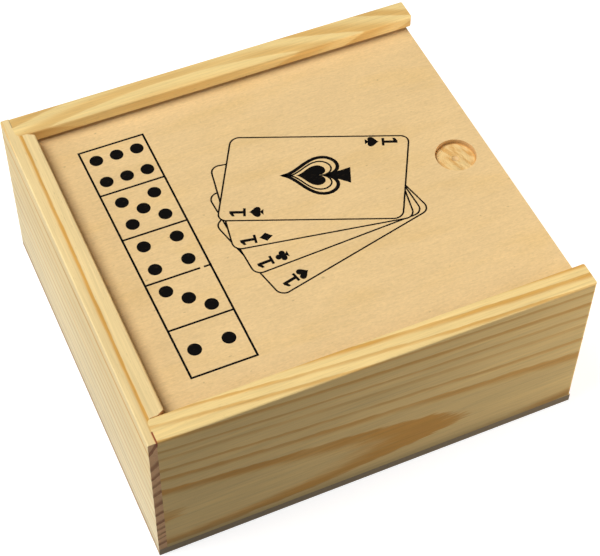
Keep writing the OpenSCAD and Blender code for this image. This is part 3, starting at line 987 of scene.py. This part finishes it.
def die_paint():
    """Pools in the six faces of every die. A die stands with its given face up and lies turned a little, by
    a wave that gives each its own angle."""
    lens = pool(DIE_PIP, DIE_PIP_DEPTH)
    shapes = []
    for k, top in enumerate(DICE_TOPS):
        low, high = span(f"die_{k + 1}")
        stand = turn_about("Z", 3 * math.sin(math.radians(100 * (k + 1)))) @ turn_about(*FACES[top - 1]).T
        for count in range(1, 7):
            out = stand @ turn_about(*FACES[count - 1])
            for x, y in pip_spots(count):
                spot = np.array([x * DIE_PIP_PITCH, y * DIE_PIP_PITCH, (high[2] - low[2]) / 2])
                shapes.append(moved(lens, (low + high) / 2 + out @ spot, out))
    return shapes


pip_paint = speckled(
    "pip_paint", (0.8, 0.8, 0.8), tone(16, 15, 15), tone(40, 37, 34), detail=2, roughness=0.35
)
piece("domino_pip_paint", domino_paint(), pip_paint, "box")
piece("dice_pip_paint", die_paint(), pip_paint, "box")

# %% Beech and dice plastic
STACK_PITCH = 25.5
LEVEL_SLACK = 0.01


def beech_finish():
    """Beech along Y, a little different for each domino: pinkish tan, with short dark flecks and a soft
    sheen from tumbling. The domino's own number comes from where it lies in its stack."""
    low, high = span("domino_0_0")
    beech = Finish("tumbled_beech", roughness=0.42)
    x, _, z = beech.split(beech.place)
    counted = []
    for value, start, pitch in ((x, low[0], STACK_PITCH), (z, low[2] - LEVEL_SLACK, high[2] - low[2])):
        steps = beech.number("DIVIDE", beech.number("SUBTRACT", value, start), pitch)
        counted.append(beech.number("FLOOR", steps))
    own = beech.node("ShaderNodeTexWhiteNoise", {"Vector": beech.join(*counted, 0.5)}).outputs["Value"]
    place = beech.vector("ADD", beech.place, beech.join(0, beech.times(own, 300), 0))
    grain = beech.noise((1.4, 40, 1.4), detail=3, place=place)
    fleck = beech.fade(beech.noise((0.35, 2.2, 0.35), detail=1, place=place), 0.60, 0.70)
    colour = beech.mix(grain, tone(228, 190, 142), tone(208, 164, 116))
    colour = beech.mix(beech.times(fleck, 0.45), colour, tone(150, 98, 62))
    light = beech.number("MULTIPLY_ADD", own, 0.14, 0.92)
    return beech.finish(beech.shade(colour, light), bump=grain, bump_height=0.02)


# Cast plastic, the colour of ivory: a little light goes in, and the surface is polished
ivory = speckled(
    "dice_ivory", (9, 9, 9), tone(244, 239, 222), tone(234, 226, 200), 0.01, roughness=0.22,
    specular=0.5, **{"Coat Weight": 0.3, "Subsurface Weight": 0.15, "Subsurface Scale": 0.002},
)
dress([n for n in nodes if n.startswith("domino_")], beech_finish())
dress([n for n in nodes if n.startswith("die_")], ivory)
print("dominoes and dice dressed")

# %% [markdown]
# ## Cards and their tuck cases
#
# A tuck case is folded from one sheet of printed board. The print is a plain diamond lattice inside a white
# border, the commonest pattern for card backs, worked out from the place of a point: two families of slanted
# lines cross, and a spot sits in each diamond. The same lattice, finer, is on the backs of the cards.

# %% Printed board and paper
LATTICE_SLOPE = 1.25
# Distances from the board's edge at which the panel, the rule and the rubbed rim start and are whole
PANEL_EDGE = (5.4, 5.6)
RULE_OUTER, RULE_INNER = (3.9, 4.1), (4.9, 4.7)
RUBBED_EDGE = (0.35, 0.05)
BOARD_WHITE = tone(238, 234, 224)
PAPER_WHITE = tone(240, 237, 228)
PAPER_GREY = tone(206, 200, 186)
CARD_BLUE, CARD_RED = tone(42, 66, 128), tone(158, 38, 36)


def lattice(finish, pitch, line):
    """How much of a point is white: on the two families of slanted lines, or on the spot between them."""
    x, y, _ = finish.split(finish.place)
    away = []
    for operation in ("ADD", "SUBTRACT"):
        slanted = finish.number(operation, x, finish.times(y, LATTICE_SLOPE))
        away.append(finish.away(finish.number("FRACT", finish.number("DIVIDE", slanted, pitch)), 0.5))
    lines = finish.fade(finish.number("MINIMUM", *away), line, line * 0.6)
    dot = finish.fade(finish.number("ADD", *(finish.number("SUBTRACT", 0.5, a) for a in away)), 0.2, 0.14)
    return finish.number("MAXIMUM", lines, dot)


def card_board(name, node, ink):
    """Varnished board: the lattice within a border on the broad faces, plain ink on the narrow ones. The
    way to the edge is half the board's length less the way to its middle, along X or Y, whichever is less."""
    low, high = span(node)
    board = Finish(name, roughness=0.33, specular=0.45)
    ways = []
    for k, value in enumerate(board.split(board.place)[:2]):
        from_middle = board.away(value, (low[k] + high[k]) / 2)
        ways.append(board.number("SUBTRACT", (high[k] - low[k]) / 2, from_middle))
    edge = board.number("MINIMUM", *ways)
    printed = board.mix(lattice(board, 5.2, 0.09), ink, BOARD_WHITE)
    flat = board.mix(board.fade(edge, *PANEL_EDGE), BOARD_WHITE, printed)
    flat = board.mix(board.times(board.fade(edge, *RULE_OUTER), board.fade(edge, *RULE_INNER)), flat, ink)
    colour = board.mix(board.facing(2, 0.6, 0.8), ink, flat)
    scuffed = board.fade(board.noise((3, 3, 3), detail=3), 0.45, 0.6)
    rubbed = board.times(board.fade(edge, *RUBBED_EDGE), scuffed)
    colour = board.mix(board.times(rubbed, 0.8), colour, BOARD_WHITE)
    return board.finish(colour, bump=board.noise((0.7, 0.7, 0.7), detail=3), bump_height=0.02)


def card_paper(name, ink):
    """Cards in a deck: the lattice on the top card, and on the sides the edges of card after card."""
    paper = Finish(name, roughness=0.4)
    sheet = paper.noise((60, 60, 0.3), detail=1)
    side = paper.mix(paper.fade(sheet, 0.35, 0.6), PAPER_GREY, PAPER_WHITE)
    back = paper.mix(lattice(paper, 2.6, 0.1), ink, PAPER_WHITE)
    return paper.finish(paper.mix(paper.facing(2, 0.6, 0.8), side, back))


for level, hue, ink in (("lower", "blue", CARD_BLUE), ("upper", "red", CARD_RED)):
    dress([level + "_card_case"], card_board(hue + "_board", level + "_card_case", ink))
    dress([level + "_card_deck"], card_paper(hue + "_cards", ink))

# %% Steel brads
steel = speckled(
    "brad_steel", (0.15, 1.2, 1.2), tone(176, 178, 182), tone(126, 126, 130), 0.05, roughness=0.35,
    Metallic=1.0,
)
dress(["bottom_brads"], steel)
print("cards and brads dressed")

# %% [markdown]
# ## The floor, the world and the lamps
#
# The photograph has a plain white ground. The floor is a pale disc that still takes the box's shadow: seen
# by the camera it glows a little, so that it stays white where the light falls. The main lamp is a large
# soft one behind the box on the left, because the lid and the left face are the brightest, and the front
# face is at half their level. A cold lamp low on the left, a warm one low on the right and a dim world fill
# in the rest. Floor and world look white to the camera, but throw little light back.

# %% Floor, world and lamps
FLOOR_RADIUS = 3000
FLOOR_CORNERS = 64
FLOOR_GLOW = 0.75
FLOOR_SEEN = (0.5, 0.5, 0.5, 1)
FLOOR_BOUNCE = (0.06, 0.06, 0.06, 1)
WORLD_LIGHT = 0.05
WORLD_COLOUR = (1.0, 0.985, 0.96, 1)
LAMP_AIM = (0, 0, 35)
# Azimuth, elevation, distance, width, power and colour of each square lamp
LAMPS = {
    "main_lamp": (-112, 57, 2500, 1500, 64, (1, 0.995, 0.97)),
    "left_fill": (-85, 12, 1500, 900, 10.5, (0.76, 0.83, 1)),
    "right_fill": (64, 10, 420, 200, 1.38, (1, 0.91, 0.84)),
}

ground = Finish("floor", roughness=0.9, specular=0.0)
rays = ground.node("ShaderNodeLightPath", {}).outputs
eye = ground.number("MAXIMUM", rays["Is Camera Ray"], rays["Is Glossy Ray"])
eye = ground.number("MAXIMUM", eye, rays["Is Transmission Ray"])
bounce = ground.node("ShaderNodeBsdfDiffuse", {"Color": FLOOR_BOUNCE})
pale = ground.node("ShaderNodeBsdfDiffuse", {"Color": FLOOR_SEEN})
glow = ground.node("ShaderNodeEmission", {"Strength": FLOOR_GLOW})
seen = ground.node("ShaderNodeAddShader", {0: pale.outputs[0], 1: glow.outputs[0]})
mixed = ground.node("ShaderNodeMixShader", {0: eye, 1: bounce.outputs[0], 2: seen.outputs[0]})
ground.tree.links.new(mixed.outputs[0], ground.tree.nodes["Material Output"].inputs["Surface"])

rim = at_height(circle(FLOOR_RADIUS * MM, count=FLOOR_CORNERS), 0)
floor_mesh = bpy.data.meshes.new("floor")
floor_mesh.from_pydata(rim.tolist(), [], [list(range(FLOOR_CORNERS))])
floor_mesh.materials.append(ground.material)
floor = add_object("floor", floor_mesh)

world = bpy.data.worlds.new("studio")
scene.world = world
world.use_nodes = True
sky = world.node_tree
dim = sky.nodes["Background"]
dim.inputs["Color"].default_value = WORLD_COLOUR
dim.inputs["Strength"].default_value = WORLD_LIGHT
bright = add_node(sky, "ShaderNodeBackground", {"Color": (1, 1, 1, 1)})
eye = add_node(sky, "ShaderNodeLightPath", {}).outputs["Is Camera Ray"]
mixed = add_node(sky, "ShaderNodeMixShader", {0: eye, 1: dim.outputs[0], 2: bright.outputs[0]})
sky.links.new(mixed.outputs[0], sky.nodes["World Output"].inputs["Surface"])

for name, (azimuth, elevation, distance, width, power, colour) in LAMPS.items():
    light = bpy.data.lights.new(name, "AREA")
    light.size = width * MM
    light.energy = power
    light.color = colour
    look_at(LAMP_AIM, add_object(name, light), azimuth, elevation, distance)
print("floor, world and", len(LAMPS), "lamps are up")
